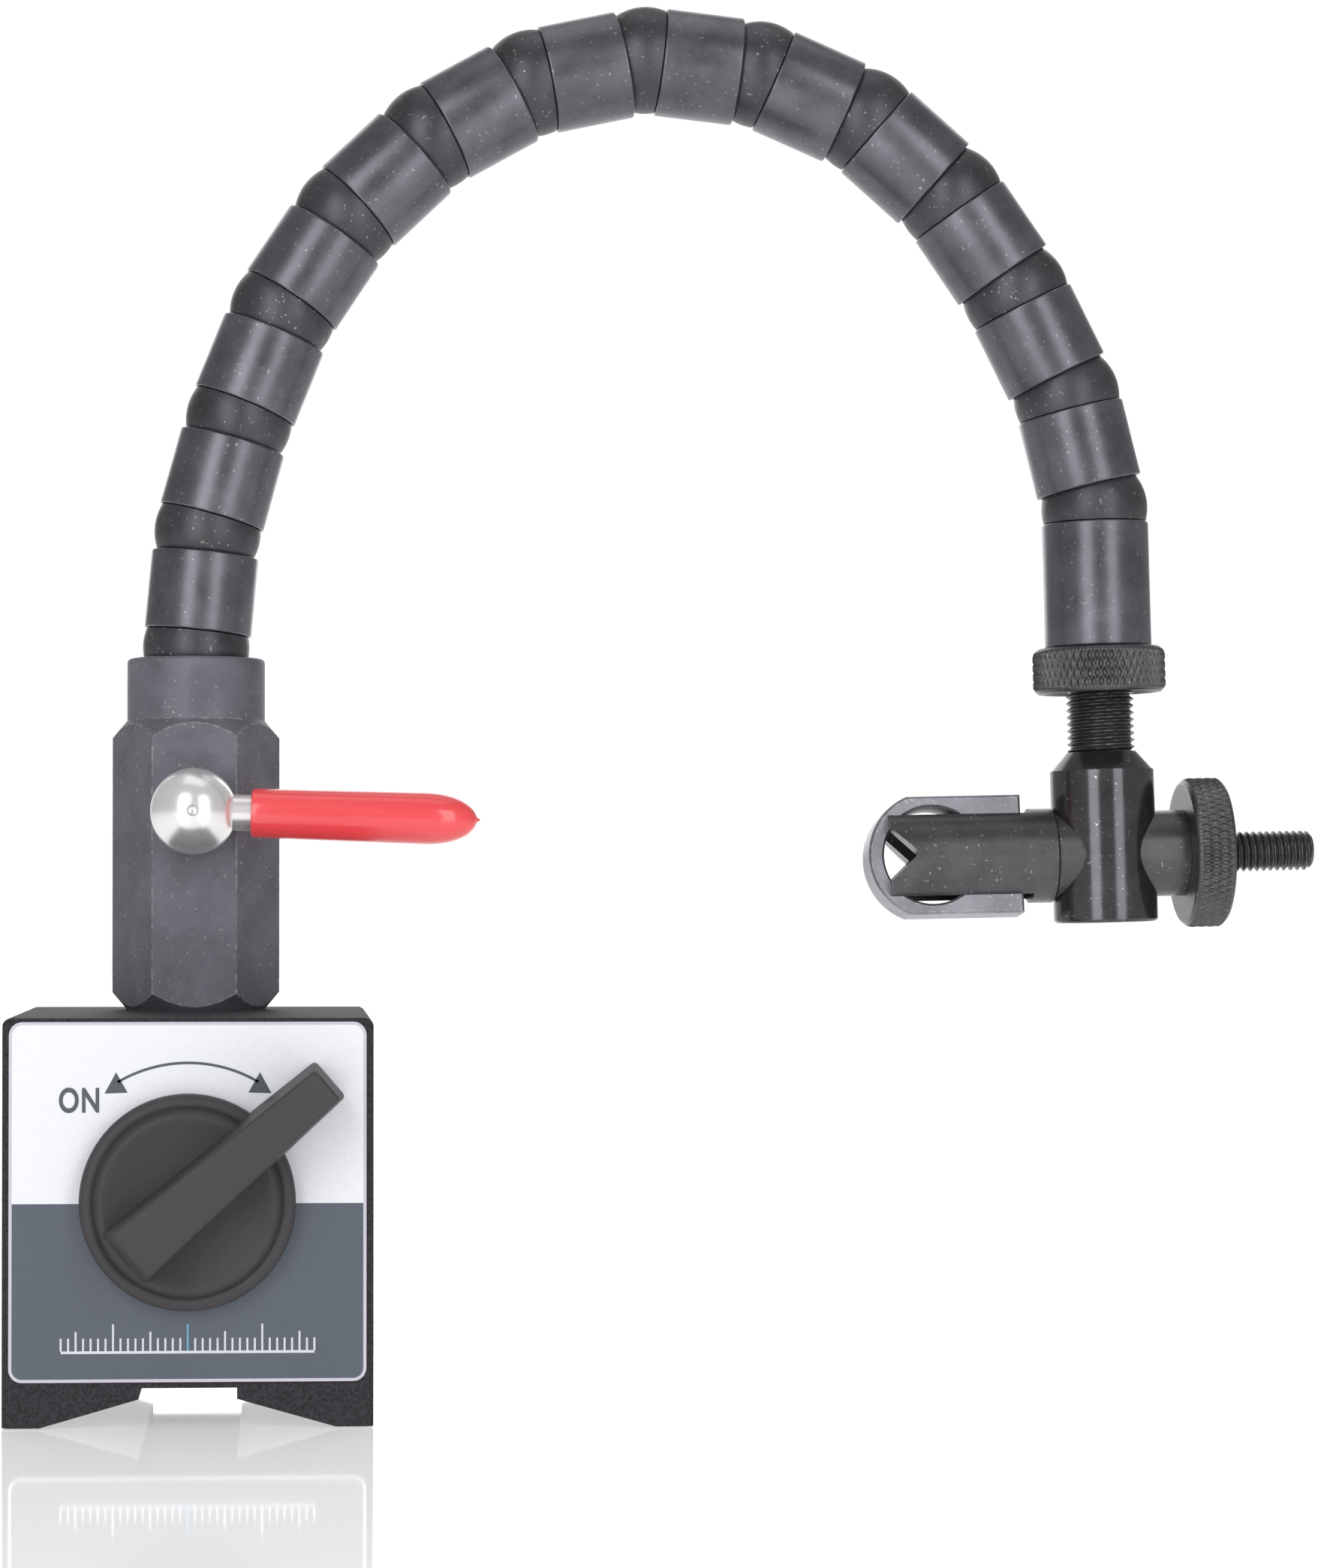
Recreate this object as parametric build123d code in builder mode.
from build123d import *
import os
from math import cos, radians, sin, sqrt, tan

# Switchable magnetic base with a cable-locked ball-and-sleeve arm and an indicator clamp.
# Millimetres. Origin: centre of the sole. +X right, +Y to the rear, +Z up.

os.makedirs("parts", exist_ok=True)

# ---- driving dimensions -------------------------------------------------------------------
# magnetic base block
base_width, base_depth, base_height = 50.0, 60.0, 55.0
base_edge_r = 1.2
slot_half_width, slot_top = 6.25, 5.3
vee_inner_x, vee_inner_z, vee_outer_x = 6.6, 3.8, 19.9
rotor_z, rotor_r, rotor_gap = 30.4, 15.0, 0.2
cover_thick = 5.0
tie_pin_r, tie_pin_half = 2.0, 16.0
tie_pin_high_z, tie_pin_low_z, tie_pin_y = 50.2, 10.2, 21.0

# label plate and switch knob
label_width, label_bottom, label_top, label_thick, label_r = 48.0, 6.15, 54.5, 0.4, 1.8
shaft_r, shaft_hole_r = 5.0, 5.05
knob_r, knob_flange, knob_disc_r, knob_disc = 14.5, 3.4, 12.0, 1.4
rib_angle, rib_tail, rib_tip, rib_tail_w, rib_tip_w, rib_height = 40.8, 10.0, 25.0, 8.2, 5.6, 7.0
stop_radius, stop_pin_r, switch_sweep = 10.5, 1.2, 98.0
grub_r, grub_length = 1.25, 7.5

# column
column_y, hex_af, hex_bottom, hex_top = 14.0, 21.0, 55.0, 97.0
hex_chamfer_deg = 50
collar_r, collar_top = 10.0, 106.0
chamber_r, chamber_top = 6.2, 96.0
stud_low_r, stud_low_z, stud_high_z = 4.9, 47.0, 66.0

# cam lock
cam_z, cam_throw, cam_r, cam_shaft_r = 83.5, 1.2, 2.7, 4.0
hub_r, hub_y = 6.15, -2.0
lever_r, lever_end = 2.6, 37.0
sleeve_start, grip_end, grip_r, grip_wall, lever_droop = 8.2, 40.7, 3.7, 0.9, 1.7
block_r, block_low, block_top = 6.1, 76.5, 94.5

# arm: pitch, tube and ball sizes, and the bend held at each ball, base to tip
pitch, tube_r, ball_r, socket_r = 17.0, 7.8, 7.75, 7.8
shoulder, rim = 2.1, 3.3
shank_r, shank_hole_r, shank_end = 5.0, 5.05, 8.0
cable_r, ball_bore_r, web_bore_r, bore_flare = 1.25, 2.25, 3.0, 18.0
ball_root_z = 107.7
bends = [5.5, 10, 6.5, 11.5, 13, 14.5, 17, 18.5, 17, 18, 14, 8, 12.5, 12.5]

# end of the arm and indicator clamp; distances run down the end axis from the last ball
end_sleeve_end, lock_ring_r, lock_ring_end = 20.6, 9.7, 27.3
stud_r, stud_start, thread_pitch = 4.95, 13.0, 1.0
cone_start, cone_end, cone_r, knuckle_r, knuckle_end = 36.0, 38.7, 4.9, 7.6, 61.1
clamp_drop, clamp_tilt, clamp_roll = 51.1, 1.2, 6.5
shank_out_r, shank_bore_r = 6.35, 6.4
barrel_r, barrel_left, barrel_right = 6.95, -32.4, -7.65
neck_end, wheel_end, wheel_r = 11.6, 17.4, 11.0
rod_r, rod_hole_r, rod_end = 2.95, 3.0, 30.8
eye_x, eye_r, eye_hole_r, eye_right, eye_half_height, eye_thick = -26.0, 9.4, 7.15, -12.8, 8.7, 7.0
fork_slot, fork_slot_end = 7.1, -11.3
vee_apex, vee_half = -28.4, 3.75

# ---- derived values and planes ------------------------------------------------------------
headings = [sum(bends[: i + 1]) for i in range(len(bends))]


def along(heading):
    return Vector(sin(radians(heading)), 0, cos(radians(heading)))


balls = [Vector(0, column_y, ball_root_z)]
for heading in headings[:-1]:
    balls.append(balls[-1] + along(heading) * pitch)


def link_plane(i):
    """Plane at ball i with its normal along the link that the ball carries."""
    return Plane(origin=balls[i], x_dir=(0, 1, 0), z_dir=along(headings[i]))


end_plane = link_plane(len(bends) - 1)
clamp_centre = balls[-1] + along(headings[-1]) * clamp_drop
clamp_dir = Vector(cos(radians(clamp_tilt)), 0, sin(radians(clamp_tilt)))
# the head is rolled a little about the clamp axis, its lower side turned to the front
clamp_up = Vector(0, -1, 0).cross(clamp_dir)
clamp_face = Vector(0, -1, 0) * cos(radians(clamp_roll)) + clamp_up * sin(radians(clamp_roll))
# local x of this plane is the clamp head's thickness direction, local z the clamp axis
clamp_plane = Plane(origin=clamp_centre, x_dir=clamp_face, z_dir=clamp_dir)
# side view plane of the clamp head: local x along the clamp axis, local y up the head
head_plane = Plane(origin=clamp_centre, x_dir=clamp_dir, z_dir=clamp_plane.x_dir)
front = Plane(origin=(0, 0, 0), x_dir=(1, 0, 0), z_dir=(0, -1, 0))
column_plane = Plane(origin=(0, column_y, 0), x_dir=(1, 0, 0), z_dir=(0, 0, 1))


def save(builder, name):
    builder.part.label = name
    export_step(builder.part, "parts/" + name + ".step")


# ---- magnetic base ------------------------------------------------------------------------
bore_r = rotor_r + rotor_gap
half_w, half_d = base_width / 2, base_depth / 2


def make_pole(side, name):
    """One steel pole: outer half of the block with its share of the rotor bore and the V sole."""
    with BuildPart() as pole:
        with BuildSketch(front.offset(-half_d)):
            with BuildLine():
                Polyline(
                    (side * slot_half_width, slot_top),
                    (side * vee_inner_x, slot_top),
                    (side * vee_inner_x, vee_inner_z),
                    (side * vee_outer_x, 0),
                    (side * half_w, 0),
                    (side * half_w, base_height),
                    (side * slot_half_width, base_height),
                    close=True,
                )
            make_face()
            with Locations((0, rotor_z)):
                Circle(bore_r, mode=Mode.SUBTRACT)
        extrude(amount=base_depth)
        outer = pole.faces().sort_by(Axis.X)[-1 if side > 0 else 0]
        top = pole.faces().sort_by(Axis.Z)[-1]
        edges = outer.edges().sort_by(Axis.Z)[1:] + top.edges().filter_by(Axis.X)
        fillet(edges, radius=base_edge_r)
        for z in (tie_pin_low_z, tie_pin_high_z):
            with Locations(Plane(origin=(0, 0, z), x_dir=(0, 1, 0), z_dir=(side, 0, 0))):
                with Locations((tie_pin_y, 0), (-tie_pin_y, 0)):
                    Cylinder(
                        tie_pin_r,
                        tie_pin_half,
                        align=(Align.CENTER, Align.CENTER, Align.MIN),
                        mode=Mode.SUBTRACT,
                    )
    save(pole, name)


make_pole(-1, "pole_left")
make_pole(1, "pole_right")


def make_spacer(low, high, pin_z, name, stud_hole):
    """Non-magnetic bar between the poles, hollowed by the rotor bore."""
    with BuildPart() as spacer:
        with BuildSketch(front.offset(-half_d)):
            with Locations((0, (low + high) / 2)):
                Rectangle(2 * slot_half_width, high - low)
            with Locations((0, rotor_z)):
                Circle(bore_r, mode=Mode.SUBTRACT)
        extrude(amount=base_depth)
        if stud_hole:
            fillet(spacer.faces().sort_by(Axis.Z)[-1].edges().filter_by(Axis.X), base_edge_r)
        with Locations(Plane(origin=(0, 0, pin_z), x_dir=(0, 1, 0), z_dir=(1, 0, 0))):
            with Locations((tie_pin_y, 0), (-tie_pin_y, 0)):
                Cylinder(tie_pin_r, 4 * slot_half_width, mode=Mode.SUBTRACT)
        if stud_hole:
            with Locations(Plane(origin=(0, column_y - 2.0, high))):
                with Locations((0, 2.0)):
                    Hole(stud_low_r, depth=high - stud_low_z)
    save(spacer, name)


make_spacer(rotor_z, base_height, tie_pin_high_z, "spacer_upper", True)
make_spacer(slot_top, rotor_z, tie_pin_low_z, "spacer_lower", False)

with BuildPart() as tie_pins:
    for z in (tie_pin_low_z, tie_pin_high_z):
        with Locations(Plane(origin=(0, 0, z), x_dir=(0, 1, 0), z_dir=(1, 0, 0))):
            with Locations((tie_pin_y, 0), (-tie_pin_y, 0)):
                Cylinder(tie_pin_r, 2 * tie_pin_half)
save(tie_pins, "tie_pins")

rotor_front_y = -half_d + cover_thick
front_face = Plane(origin=(0, -half_d, rotor_z), x_dir=(1, 0, 0), z_dir=(0, 1, 0))
with BuildPart() as front_bearing:
    with BuildSketch(front_face):
        Circle(bore_r)
        Circle(shaft_hole_r, mode=Mode.SUBTRACT)
    extrude(amount=cover_thick)
    chamfer(front_bearing.edges().filter_by(GeomType.CIRCLE).sort_by(Axis.Y)[-1], 0.4)
save(front_bearing, "front_bearing_plate")

# stop pin stands out of the bearing plate into the arc groove of the rotor
with BuildPart() as stop_pin:
    with BuildSketch(Plane(origin=(0, rotor_front_y, rotor_z), x_dir=(1, 0, 0), z_dir=(0, 1, 0))):
        with Locations((-stop_radius, 0)):
            Circle(stop_pin_r)
    extrude(amount=2.2)
save(stop_pin, "rotor_stop_pin")

rear_face = Plane(origin=(0, half_d, rotor_z), x_dir=(1, 0, 0), z_dir=(0, -1, 0))
with BuildPart() as rear_cover:
    with BuildSketch(rear_face):
        Circle(bore_r)
    extrude(amount=cover_thick)
    with BuildSketch(rear_face.offset(cover_thick)):
        Circle(shaft_hole_r)
    extrude(amount=-3.0, mode=Mode.SUBTRACT)
    with Locations(rear_face):
        with PolarLocations(10.5, 2, start_angle=0):
            Cylinder(1.6, 2 * cover_thick, mode=Mode.SUBTRACT)
save(rear_cover, "rear_cover")

with BuildPart() as cover_screws:
    with Locations(Plane(origin=(0, half_d, rotor_z), x_dir=(1, 0, 0), z_dir=(0, 1, 0))):
        with PolarLocations(10.5, 2, start_angle=0):
            Cylinder(1.6, 4.8, align=(Align.CENTER, Align.CENTER, Align.MAX))
            Cylinder(2.9, 1.2, align=(Align.CENTER, Align.CENTER, Align.MIN))
            Box(4.4, 0.8, 1.4, align=(Align.CENTER, Align.CENTER, Align.CENTER), mode=Mode.SUBTRACT)
    with Locations(Plane(origin=(0, half_d + 1.2, rotor_z), x_dir=(1, 0, 0), z_dir=(0, 1, 0))):
        with PolarLocations(10.5, 2, start_angle=0):
            Box(7.0, 0.8, 1.4, mode=Mode.SUBTRACT)
save(cover_screws, "rear_cover_screws")

with BuildPart() as label_plate:
    with BuildSketch(Plane(origin=(0, -half_d, 0), x_dir=(1, 0, 0), z_dir=(0, -1, 0))):
        with Locations((0, (label_bottom + label_top) / 2)):
            RectangleRounded(label_width, label_top - label_bottom, label_r)
        with Locations((0, rotor_z)):
            Circle(shaft_hole_r + 0.2, mode=Mode.SUBTRACT)
    extrude(amount=label_thick)
save(label_plate, "label_plate")

# ---- switch rotor and knob ----------------------------------------------------------------
rotor_len = base_depth - 2 * cover_thick - 0.4
with BuildPart() as rotor_magnet:
    with BuildSketch(Plane(origin=(0, rotor_front_y + 0.2, rotor_z), x_dir=(1, 0, 0), z_dir=(0, 1, 0))):
        Circle(rotor_r)
        Circle(shaft_r, mode=Mode.SUBTRACT)
    extrude(amount=rotor_len)
    # arc groove for the stop pin: from the pin at rest to the end of the switch travel
    with BuildSketch(Plane(origin=(0, rotor_front_y, rotor_z), x_dir=(1, 0, 0), z_dir=(0, 1, 0))):
        with BuildLine() as groove:
            CenterArc((0, 0), stop_radius, 180 - 1.5, switch_sweep + 3.0)
        SlotArc(groove.edges()[0], height=2 * stop_pin_r + 0.3)
    extrude(amount=3.0, mode=Mode.SUBTRACT)
save(rotor_magnet, "rotor_magnet")

knob_back_y = -half_d - label_thick - 0.1
shaft_front_y = knob_back_y - knob_flange
with BuildPart() as rotor_shaft:
    with BuildSketch(Plane(origin=(0, shaft_front_y + 0.4, rotor_z), x_dir=(1, 0, 0), z_dir=(0, 1, 0))):
        Circle(shaft_r)
    extrude(amount=half_d - cover_thick + 2.9 - shaft_front_y - 0.4)
    chamfer(rotor_shaft.edges().filter_by(GeomType.CIRCLE), 0.5)
save(rotor_shaft, "rotor_shaft")

knob_plane = Plane(origin=(0, knob_back_y, rotor_z), x_dir=(1, 0, 0), z_dir=(0, -1, 0))
rib_dir = (cos(radians(rib_angle)), 0, sin(radians(rib_angle)))
rib_plane = Plane(origin=knob_plane.origin, x_dir=rib_dir, z_dir=knob_plane.z_dir)
rib_low = knob_flange + knob_disc
grub_plane = Plane(origin=(0, knob_back_y - knob_flange / 2, rotor_z), x_dir=(1, 0, 0), z_dir=(0, 0, -1))
with BuildPart() as switch_knob:
    with BuildSketch(knob_plane):
        Circle(knob_r)
    extrude(amount=knob_flange)
    fillet(switch_knob.edges().sort_by(Axis.Y)[0], 1.0)
    with BuildSketch(knob_plane.offset(knob_flange)):
        Circle(knob_disc_r)
    extrude(amount=knob_disc)
    # straight rib, then a bevelled crest
    for low, depth, taper in ((1.0, rib_low + rib_height - 2.0, 0), (rib_low + rib_height - 1.0, 1.0, 45)):
        with BuildSketch(rib_plane.offset(low)) as rib_outline:
            with BuildLine():
                Polyline(
                    (-rib_tail, -rib_tail_w / 2),
                    (rib_tip, -rib_tip_w / 2),
                    (rib_tip, rib_tip_w / 2),
                    (-rib_tail, rib_tail_w / 2),
                    close=True,
                )
            make_face()
        extrude(amount=depth, taper=taper)
    # socket for the rotor shaft, and the grub screw's hole from the underside of the rim
    with BuildSketch(knob_plane):
        Circle(shaft_r)
    extrude(amount=knob_flange - 0.4, mode=Mode.SUBTRACT)
    with Locations(grub_plane):
        Cylinder(
            grub_r,
            knob_r + 1,
            align=(Align.CENTER, Align.CENTER, Align.MIN),
            mode=Mode.SUBTRACT,
        )
save(switch_knob, "switch_knob")

with BuildPart() as knob_screw:
    with Locations(grub_plane.offset(shaft_r)):
        Cylinder(grub_r, grub_length, align=(Align.CENTER, Align.CENTER, Align.MIN))
    with BuildSketch(grub_plane.offset(shaft_r + grub_length)):
        RegularPolygon(0.65, 6)
    extrude(amount=-1.5, mode=Mode.SUBTRACT)
save(knob_screw, "knob_screw")

# ---- column -------------------------------------------------------------------------------
hex_trim_r = hex_af / sqrt(3) + 0.3
hex_end_r = hex_af / 2 - 0.5
hex_drop = (hex_trim_r - hex_end_r) * tan(radians(hex_chamfer_deg))
with BuildPart() as column:
    with BuildSketch(column_plane.offset(hex_bottom)):
        RegularPolygon(hex_af / 2, 6, major_radius=False, rotation=0)
    extrude(amount=hex_top - hex_bottom)
    # deep nut chamfers: the hexagon is trimmed by a double cone
    with BuildSketch(Plane(origin=(0, column_y, 0), x_dir=(1, 0, 0), z_dir=(0, -1, 0))):
        with BuildLine():
            Polyline(
                (0, hex_bottom),
                (hex_end_r, hex_bottom),
                (hex_trim_r, hex_bottom + hex_drop),
                (hex_trim_r, hex_top - hex_drop),
                (hex_end_r, hex_top),
                (0, hex_top),
                close=True,
            )
        make_face()
    revolve(axis=Axis((0, column_y, 0), (0, 0, 1)), mode=Mode.INTERSECT)
    with BuildSketch(column_plane.offset(hex_top)):
        Circle(collar_r)
    extrude(amount=collar_top - hex_top)
    fillet(column.faces().sort_by(Axis.Z)[-1].edges(), 0.6)
    # spherical seat of the first ball, cable hole and the chamber of the cam lock
    with Locations((0, column_y, ball_root_z)):
        Sphere(socket_r, mode=Mode.SUBTRACT)
    with Locations((0, column_y, collar_top)):
        Cylinder(web_bore_r, 40, mode=Mode.SUBTRACT)
    with Locations((0, column_y, hex_bottom)):
        Cylinder(
            chamber_r,
            chamber_top - hex_bottom,
            align=(Align.CENTER, Align.CENTER, Align.MIN),
            mode=Mode.SUBTRACT,
        )
    # cross bore of the cam shaft: running fit in both walls, blind at the back
    with Locations(Plane(origin=(0, 0, cam_z), x_dir=(1, 0, 0), z_dir=(0, 1, 0))):
        Cylinder(
            cam_shaft_r + 0.05,
            column_y + hex_af / 2 - 1.2,
            align=(Align.CENTER, Align.CENTER, Align.MIN),
            mode=Mode.SUBTRACT,
        )
save(column, "hex_column")

with BuildPart() as column_stud:
    with Locations((0, column_y, stud_low_z)):
        Cylinder(stud_low_r, base_height - stud_low_z, align=(Align.CENTER, Align.CENTER, Align.MIN))
    with Locations((0, column_y, base_height)):
        Cylinder(chamber_r, stud_high_z - base_height, align=(Align.CENTER, Align.CENTER, Align.MIN))
    chamfer(column_stud.edges().filter_by(GeomType.CIRCLE).group_by(Axis.Z)[-1], 0.8)
    chamfer(column_stud.edges().filter_by(GeomType.CIRCLE).group_by(Axis.Z)[0], 0.6)
save(column_stud, "column_stud")

# ---- cam lock -----------------------------------------------------------------------------
column_front_y = column_y - hex_af / 2
cam_axis_plane = Plane(origin=(0, 0, cam_z), x_dir=(1, 0, 0), z_dir=(0, 1, 0))
lever_dir = Vector(cos(radians(lever_droop)), 0, -sin(radians(lever_droop)))
lever_plane = Plane(origin=(0, hub_y, cam_z), x_dir=(0, 1, 0), z_dir=lever_dir)
with BuildPart() as cam_shaft:
    with Locations((0, hub_y, cam_z)):
        Sphere(hub_r)
    # the ball is faced off flat where it bears on the column
    with Locations((0, column_front_y - 0.05, cam_z)):
        Box(20, 20, 20, align=(Align.CENTER, Align.MIN, Align.CENTER), mode=Mode.SUBTRACT)
    # journal in the front wall, eccentric in the chamber, journal in the rear wall
    front_end = column_y - chamber_r
    rear_end = column_y + chamber_r
    with Locations(cam_axis_plane.offset(hub_y)):
        Cylinder(cam_shaft_r, front_end - hub_y, align=(Align.CENTER, Align.CENTER, Align.MIN))
    with Locations(cam_axis_plane.offset(front_end)):
        with Locations((cam_throw, 0)):
            Cylinder(cam_r, rear_end - front_end, align=(Align.CENTER, Align.CENTER, Align.MIN))
    with Locations(cam_axis_plane.offset(rear_end)):
        Cylinder(
            cam_shaft_r,
            column_y + hex_af / 2 - 1.4 - rear_end,
            align=(Align.CENTER, Align.CENTER, Align.MIN),
        )
    # centre mark on the hub and the socket of the lever rod
    with Locations(Plane(origin=(0, hub_y - hub_r + 0.5, cam_z), x_dir=(1, 0, 0), z_dir=(0, -1, 0))):
        Cone(0.05, 0.8, 1.0, mode=Mode.SUBTRACT)
    with Locations(lever_plane.offset(2.0)):
        Cylinder(lever_r, 8, align=(Align.CENTER, Align.CENTER, Align.MIN), mode=Mode.SUBTRACT)
save(cam_shaft, "cam_shaft")

with BuildPart() as lever_rod:
    with Locations(lever_plane.offset(2.0)):
        Cylinder(lever_r, lever_end - 2.0, align=(Align.CENTER, Align.CENTER, Align.MIN))
    chamfer(lever_rod.edges().filter_by(GeomType.CIRCLE).sort_by(Axis.X)[-1], 0.6)
save(lever_rod, "lever_rod")

grip_profile = Plane(origin=lever_plane.origin, x_dir=lever_dir, z_dir=(0, -1, 0))
with BuildPart() as lever_grip:
    with BuildSketch(grip_profile):
        with BuildLine():
            Polyline((grip_end, 0), (lever_end, 0), (lever_end, lever_r), (sleeve_start, lever_r))
            Polyline((sleeve_start, lever_r), (sleeve_start, grip_r - 0.4), (sleeve_start + 0.4, grip_r - 0.2))
            Line((sleeve_start + 0.4, grip_r - 0.2), (grip_end - 6.5, grip_r))
            Spline(
                (grip_end - 6.5, grip_r),
                (grip_end - 2.0, 2.4),
                (grip_end, 0),
                tangents=[(1, 0), (0.5, -1)],
            )
        make_face()
    revolve(axis=Axis(lever_plane.origin, lever_dir))
save(lever_grip, "lever_grip")

with BuildPart() as pull_block:
    with Locations((0, column_y, block_low)):
        Cylinder(block_r, block_top - block_low, align=(Align.CENTER, Align.CENTER, Align.MIN))
    # cross window that the eccentric works in
    with Locations((0, column_y, cam_z)):
        Box(2 * (cam_r + cam_throw) + 0.4, 2 * block_r + 2, 2 * cam_r + 0.24, mode=Mode.SUBTRACT)
    # cable hole and the pocket of the cable end, open to the left for threading in
    with Locations((0, column_y, block_top)):
        Cylinder(1.6, 14, mode=Mode.SUBTRACT)
    with Locations((0, column_y, 90.0)):
        Cylinder(2.9, 3.4, mode=Mode.SUBTRACT)
        Box(block_r + 1, 5.8, 3.4, align=(Align.MAX, Align.CENTER, Align.CENTER), mode=Mode.SUBTRACT)
save(pull_block, "pull_block")

with BuildPart() as lower_ferrule:
    with Locations((0, column_y, 88.4)):
        Cylinder(2.8, 1.8, align=(Align.CENTER, Align.CENTER, Align.MIN))
    with Locations((0, column_y, 88.4)):
        Cylinder(cable_r, 10, mode=Mode.SUBTRACT)
save(lower_ferrule, "cable_ferrule_lower")

with BuildPart() as disc_springs:
    for z in (90.25, 90.95):
        with BuildSketch(Plane(origin=(0, column_y, 0), x_dir=(1, 0, 0), z_dir=(0, -1, 0))):
            with BuildLine():
                Polyline((1.5, z + 0.35), (2.8, z), (2.8, z + 0.25), (1.5, z + 0.6), close=True)
            make_face()
        revolve(axis=Axis((0, column_y, 0), (0, 0, 1)))
save(disc_springs, "disc_springs")

# ---- arm ----------------------------------------------------------------------------------
def axial_plane(i):
    """Half-section plane of link i: local x is the radius, local y runs along the link."""
    direction = along(headings[i])
    return Plane(origin=balls[i], x_dir=(0, 1, 0), z_dir=Vector(0, 1, 0).cross(direction))


flare = tan(radians(bore_flare))
back = (sqrt(ball_r**2 * (1 + flare**2) - ball_bore_r**2) - ball_bore_r * flare) / (1 + flare**2)
back_r = ball_bore_r + back * flare
shoulder_ball_r = sqrt(ball_r**2 - shoulder**2)


def make_ball(i, name):
    """Ball with a shank that plugs into its sleeve; the cable bore flares towards the socket."""
    with BuildPart() as ball:
        with BuildSketch(axial_plane(i)):
            with BuildLine():
                Polyline((shoulder_ball_r, shoulder), (shank_r, shoulder), (shank_r, shank_end - 0.4))
                Polyline((shank_r, shank_end - 0.4), (shank_r - 0.4, shank_end), (ball_bore_r, shank_end))
                Polyline((ball_bore_r, shank_end), (ball_bore_r, 0), (back_r, -back))
                RadiusArc((back_r, -back), (shoulder_ball_r, shoulder), -ball_r)
            make_face()
        revolve(axis=Axis(balls[i], along(headings[i])))
    save(ball, name)


sleeve_low, sleeve_high, sleeve_edge = shoulder + 0.1, pitch - rim, 0.25
socket_floor = pitch - sqrt(socket_r**2 - web_bore_r**2)
rim_r = sqrt(socket_r**2 - rim**2)


def make_sleeve(i, name):
    """Tube that grips one ball's shank and carries the spherical socket of the next ball."""
    with BuildPart() as sleeve:
        with BuildSketch(axial_plane(i)):
            with BuildLine():
                Polyline(
                    (web_bore_r, socket_floor),
                    (web_bore_r, shank_end + 0.05),
                    (shank_hole_r, shank_end + 0.05),
                    (shank_hole_r, sleeve_low),
                    (tube_r - sleeve_edge, sleeve_low),
                    (tube_r, sleeve_low + sleeve_edge),
                    (tube_r, sleeve_high - sleeve_edge),
                    (tube_r - sleeve_edge, sleeve_high),
                    (rim_r, sleeve_high),
                )
                RadiusArc((rim_r, sleeve_high), (web_bore_r, socket_floor), socket_r)
            make_face()
        revolve(axis=Axis(balls[i], along(headings[i])))
    save(sleeve, name)


last = len(bends) - 1
for i in range(last):
    make_ball(i, f"ball_{i + 1:02d}")
    make_sleeve(i, f"sleeve_{i + 1:02d}")
make_ball(last, f"ball_{last + 1:02d}")

with BuildPart() as end_sleeve:
    with Locations(end_plane.offset(shoulder + 0.1)):
        Cylinder(
            tube_r,
            end_sleeve_end - shoulder - 0.1,
            align=(Align.CENTER, Align.CENTER, Align.MIN),
        )
    chamfer(end_sleeve.edges().filter_by(GeomType.CIRCLE), 0.3)
    with Locations(end_plane):
        Cylinder(stud_r + 0.05, 60, mode=Mode.SUBTRACT)
save(end_sleeve, "end_sleeve")

with BuildPart() as tip_ferrule:
    with Locations(end_plane.offset(shank_end + 0.1)):
        Cylinder(3.6, 3.4, align=(Align.CENTER, Align.CENTER, Align.MIN))
        Cylinder(cable_r, 20, mode=Mode.SUBTRACT)
save(tip_ferrule, "cable_ferrule_tip")

# pull cable along the balls' centres, each bend an arc as large as its two runs allow
cable_points = [Vector(0, column_y, 88.4)] + balls + [end_plane.origin + end_plane.z_dir * 12.6]
cable_radii = [0.45 * pitch / tan(radians(bend / 2)) for bend in bends]
cable_radii[-1] = 0.45 * 12.6 / tan(radians(bends[-1] / 2))
print("cable radii", [round(r, 1) for r in cable_radii])
with BuildPart() as steel_cable:
    with BuildLine() as cable_path:
        FilletPolyline(*cable_points, radius=cable_radii)
    with BuildSketch(Plane(origin=cable_points[0], z_dir=(0, 0, 1))):
        Circle(cable_r - 0.02)
    sweep(path=cable_path.wires()[0])
save(steel_cable, "steel_cable")

# ---- knuckle ------------------------------------------------------------------------------
def make_grooved_rod(plane, radius, span, grooves, name):
    """Round rod along a plane's normal, with V grooves at the thread pitch where its thread shows."""
    half_plane = Plane(origin=plane.origin, x_dir=plane.x_dir, z_dir=plane.x_dir.cross(plane.z_dir))
    depth, end_bevel = 0.36, 0.5
    low, high = span
    outline = [(0, low), (radius - end_bevel, low), (radius, low + end_bevel)]
    for n in range(int((grooves[1] - grooves[0]) / thread_pitch)):
        start = grooves[0] + n * thread_pitch
        outline += [(radius, start), (radius - depth, start + depth), (radius, start + 2 * depth)]
    outline += [(radius, high - end_bevel), (radius - end_bevel, high), (0, high)]
    with BuildPart() as rod:
        with BuildSketch(half_plane):
            with BuildLine():
                Polyline(*outline, close=True)
            make_face()
        revolve(axis=Axis(plane.origin, plane.z_dir))
    save(rod, name)


with BuildPart() as lock_ring:
    with BuildSketch(end_plane.offset(end_sleeve_end + 0.05)):
        Circle(lock_ring_r)
        Circle(stud_r + 0.05, mode=Mode.SUBTRACT)
    extrude(amount=lock_ring_end - end_sleeve_end - 0.05)
    chamfer(lock_ring.edges().filter_by(GeomType.CIRCLE).sort_by(SortBy.RADIUS)[-2:], 0.7)
    # shallow recess on the underside
    with BuildSketch(end_plane.offset(lock_ring_end)):
        Circle(7.2)
    extrude(amount=-1.2, mode=Mode.SUBTRACT)
save(lock_ring, "lock_ring")

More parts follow.
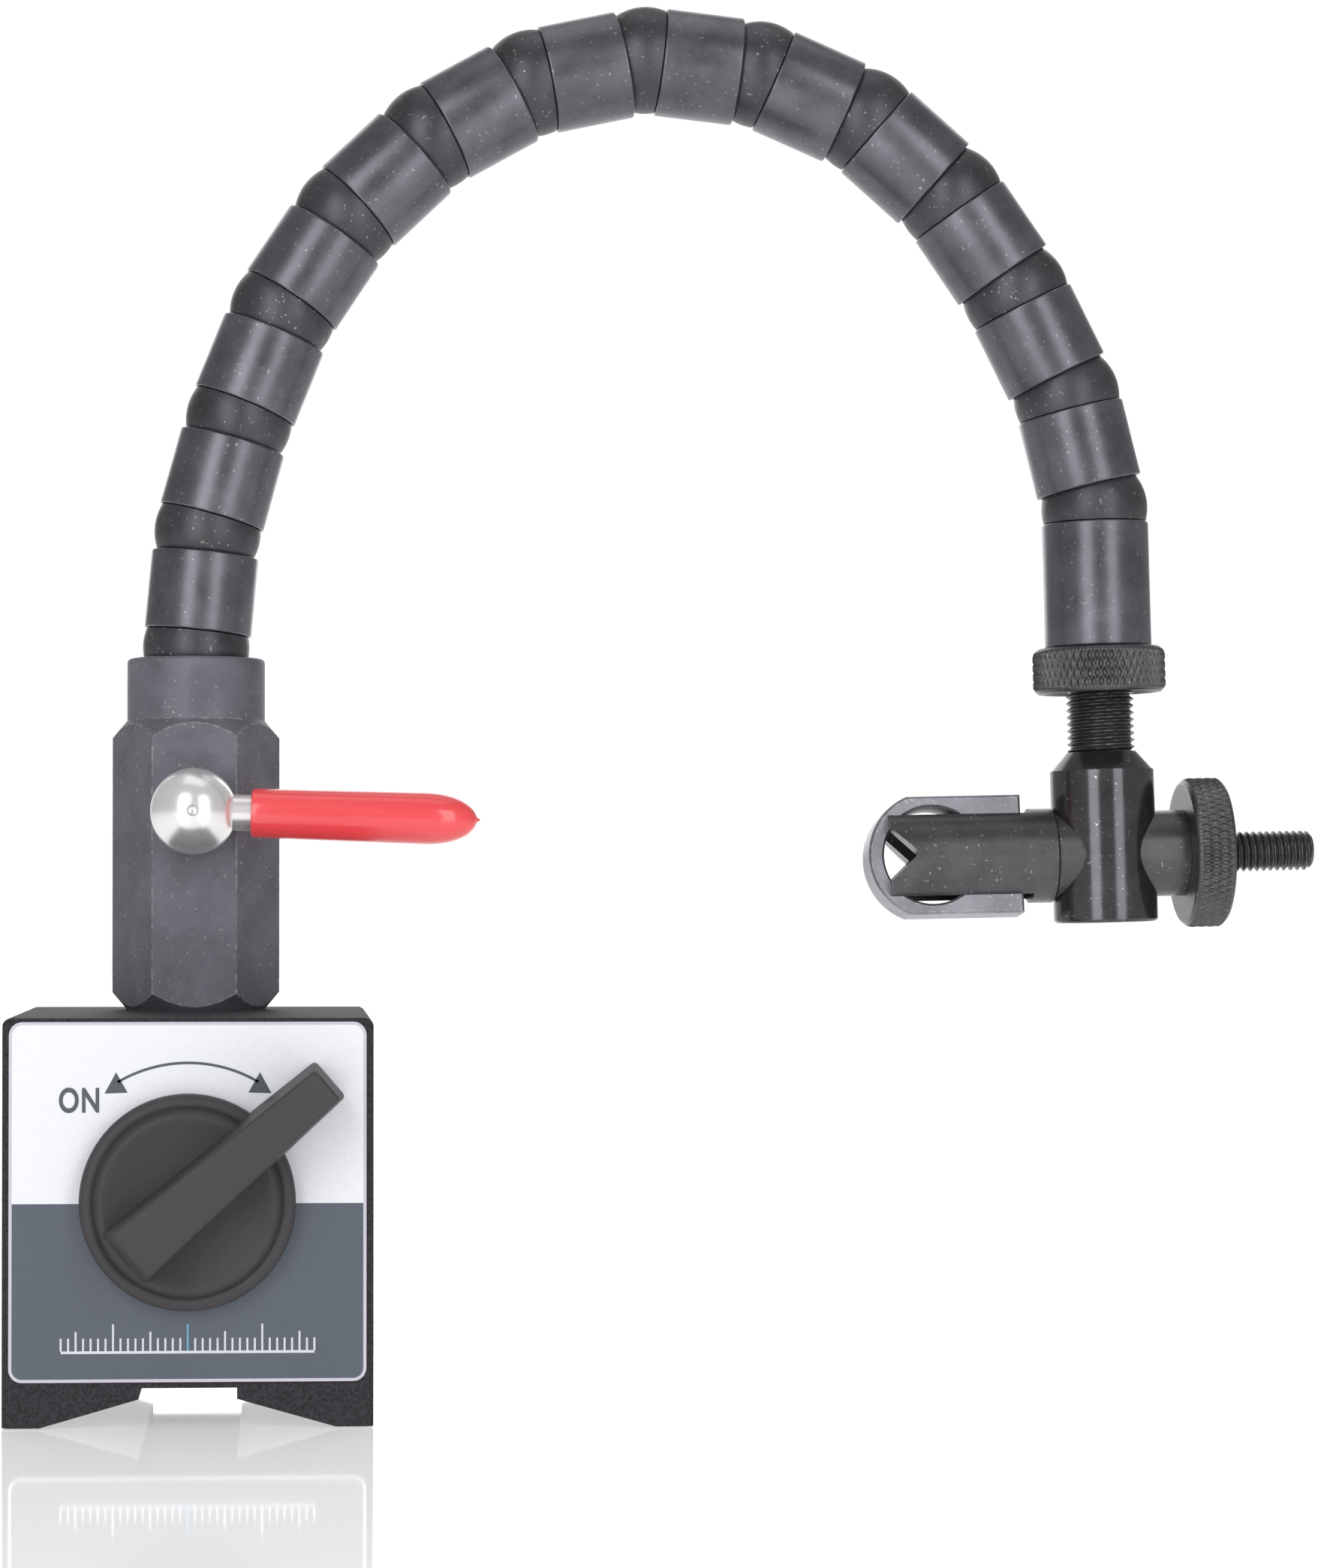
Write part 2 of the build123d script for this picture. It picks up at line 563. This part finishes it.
stud_end = clamp_drop - shank_bore_r - 1.0
with BuildPart() as knuckle_body:
    with Locations(end_plane.offset(cone_start)):
        Cone(cone_r + 0.3, knuckle_r, cone_end - cone_start, align=(Align.CENTER, Align.CENTER, Align.MIN))
    with Locations(end_plane.offset(cone_end)):
        Cylinder(knuckle_r, knuckle_end - cone_end, align=(Align.CENTER, Align.CENTER, Align.MIN))
    fillet(knuckle_body.edges().filter_by(GeomType.CIRCLE).sort_by(Axis.Z)[0], 0.5)
    with Locations(end_plane):
        Cylinder(stud_r, 80, align=(Align.CENTER, Align.CENTER, Align.MIN), mode=Mode.SUBTRACT)
    with Locations(clamp_plane):
        Cylinder(shank_bore_r, 40, mode=Mode.SUBTRACT)
save(knuckle_body, "knuckle_body")

stud_grooves = (lock_ring_end + 0.6, cone_start - 0.4)
make_grooved_rod(end_plane, stud_r, (stud_start, stud_end), stud_grooves, "knuckle_stud")

with BuildPart() as lock_pad:
    with Locations(end_plane.offset(stud_end + 0.02)):
        Cylinder(4.2, 0.8, align=(Align.CENTER, Align.CENTER, Align.MIN))
save(lock_pad, "lock_pad")

# ---- indicator clamp ----------------------------------------------------------------------
with BuildPart() as clamp_barrel:
    with Locations(clamp_plane.offset(barrel_left)):
        Cylinder(barrel_r, barrel_right - barrel_left, align=(Align.CENTER, Align.CENTER, Align.MIN))
    chamfer(clamp_barrel.edges().filter_by(GeomType.CIRCLE).sort_by(Axis.X)[-1], 0.4)
    with Locations(clamp_plane.offset(barrel_right)):
        Cylinder(shank_out_r, neck_end - barrel_right, align=(Align.CENTER, Align.CENTER, Align.MIN))
    with Locations(clamp_plane):
        Cylinder(rod_hole_r, 100, mode=Mode.SUBTRACT)
    # slot for the eye plate and the V notch across the end
    with BuildSketch(head_plane):
        with Locations(((barrel_left + fork_slot_end) / 2, 0)):
            Rectangle(fork_slot_end - barrel_left + 0.01, 30)
    extrude(amount=fork_slot / 2, both=True, mode=Mode.SUBTRACT)
    with BuildSketch(head_plane):
        with BuildLine():
            Polyline(
                (vee_apex, 0),
                (barrel_left - 1, -vee_half - 0.94),
                (barrel_left - 1, vee_half + 0.94),
                close=True,
            )
        make_face()
    extrude(amount=20, both=True, mode=Mode.SUBTRACT)
save(clamp_barrel, "clamp_barrel")

with BuildPart() as eye_plate:
    with BuildSketch(head_plane):
        with Locations((eye_x, 0)):
            Circle(eye_r)
        with Locations(((eye_x + eye_right) / 2, 0)):
            Rectangle(eye_right - eye_x, 2 * eye_half_height)
        with Locations((eye_x, 0)):
            Rectangle(80, 2 * eye_half_height, mode=Mode.INTERSECT)
        with Locations((eye_x, 0)):
            Circle(eye_hole_r, mode=Mode.SUBTRACT)
    extrude(amount=eye_thick / 2, both=True)
    chamfer(eye_plate.faces().filter_by(Axis(head_plane.origin, head_plane.z_dir)).edges(), 0.35)
    with Locations(clamp_plane.offset(eye_x)):
        Cylinder(rod_r, 40, align=(Align.CENTER, Align.CENTER, Align.MIN), mode=Mode.SUBTRACT)
save(eye_plate, "eye_plate")

rod_start = eye_x + eye_hole_r + 0.6
rod_grooves = (wheel_end + 0.6, rod_end - 1.0)
make_grooved_rod(clamp_plane, rod_r, (rod_start, rod_end), rod_grooves, "draw_rod")

with BuildPart() as wheel_nut:
    with Locations(clamp_plane.offset(neck_end + 0.05)):
        Cylinder(wheel_r, wheel_end - neck_end - 0.05, align=(Align.CENTER, Align.CENTER, Align.MIN))
    chamfer(wheel_nut.edges().filter_by(GeomType.CIRCLE), 0.7)
    with Locations(clamp_plane):
        Cylinder(rod_r + 0.05, 100, mode=Mode.SUBTRACT)
save(wheel_nut, "wheel_nut")
